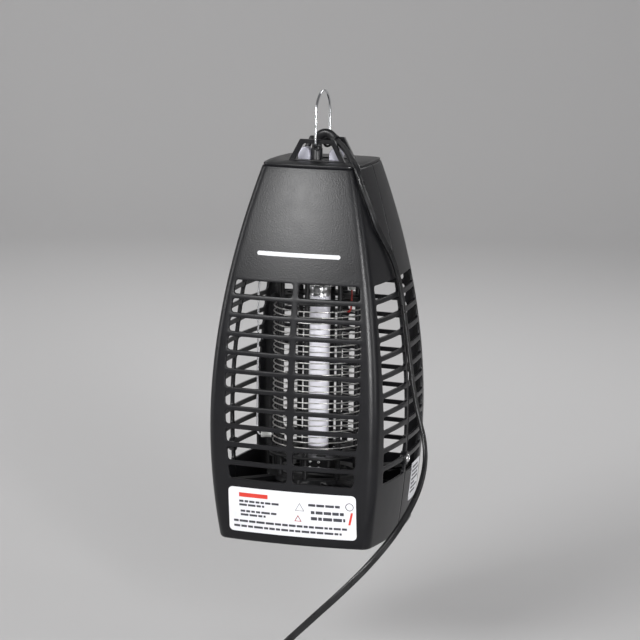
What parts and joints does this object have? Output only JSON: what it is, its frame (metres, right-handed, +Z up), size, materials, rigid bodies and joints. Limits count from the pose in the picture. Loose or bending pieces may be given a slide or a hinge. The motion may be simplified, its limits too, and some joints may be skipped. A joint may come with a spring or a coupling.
{
  "type": "electric bug zapper",
  "caption": "Hanging lantern-shaped electric insect killer: tapered black grille housing, lamp inside a cage of live wires, wire bail, pull-out tray and flat cord.",
  "frame": {"origin": "the point inside the top of the wire bail where a hook bears, on the housing's upright axis", "axes": "+Z up along the housing's axis; -Y is the front with the large label; +X is the side that the cord hangs down"},
  "size_m": [0.1702, 0.1735, 0.458],
  "materials": {
    "black_housing": "fine-textured black ABS, satin",
    "black_inner": "plain black ABS, satin",
    "zinc_wire": "bright plated wire",
    "screw_steel": "zinc-plated screws and contacts",
    "clamp_plastic": "pale grey nylon",
    "cord_pvc": "black PVC cord, half gloss",
    "tie_plastic": "white cord tie",
    "pin_metal": "nickel-plated plug pins",
    "cage_wire": "fine bright wire",
    "lamp_glass": "white phosphor under glass, unlit",
    "lamp_metal": "lamp end caps and pins",
    "holder_white": "white lamp holder",
    "board": "circuit board",
    "core_steel": "laminated core",
    "copper_coil": "enamelled copper winding",
    "capacitor": "dipped capacitors",
    "resistor": "resistor bodies",
    "diode": "diode bodies",
    "lead_red": "red insulation",
    "lead_grey": "pale insulation",
    "sleeve_white": "white sleeving",
    "label_paper": null
  },
  "bodies": {
    "housing": {"front_shell": "black_housing", "rear_shell": "black_housing", "top_cap": "black_housing", "shell_screws": "screw_steel", "cord_clamp": "clamp_plastic", "cord_gland": "cord_pvc", "cord_tail": "cord_pvc", "power_cord": "cord_pvc", "cord_coil": "cord_pvc", "cord_tie": "tie_plastic", "plug_lead": "cord_pvc", "plug_body": "cord_pvc", "plug_pins": "pin_metal", "base_frame": "black_inner", "cage_carrier": "black_inner", "carrier_screws": "screw_steel", "grid_plate_top": "black_inner", "grid_plate_bottom": "black_inner", "grid_posts": "black_inner", "grid_wires_live": "cage_wire", "grid_wires_return": "cage_wire", "lamp_tube": "lamp_glass", "lamp_caps": "lamp_metal", "lamp_pins": "lamp_metal", "lamp_holder_top": "holder_white", "lamp_holder_bottom": "black_inner", "holder_rivets": "screw_steel", "electronics_shelf": "black_inner", "circuit_board": "board", "board_screws": "screw_steel", "ballast_core": "core_steel", "ballast_coil": "copper_coil", "capacitors": "capacitor", "resistors": "resistor", "diodes": "diode", "live_lead": "lead_red", "return_lead": "lead_grey", "lead_sleeves": "sleeve_white", "front_label": "label_paper", "side_label": "label_paper"},
    "bail": {"hanging_bail": "zinc_wire"},
    "tray": {"insect_tray": "black_inner"}
  },
  "joints": [
    {"name": "bail_swing", "type": "hinge", "parent": "housing", "child": "bail", "pos_m": [0, 0, -0.0405], "axis": [0, 1, 0], "range_deg": [-100, 85]},
    {"name": "tray_pull", "type": "slide", "parent": "housing", "child": "tray", "axis": [0, 0, -1], "range_m": [0, 0.036]}
  ]
}
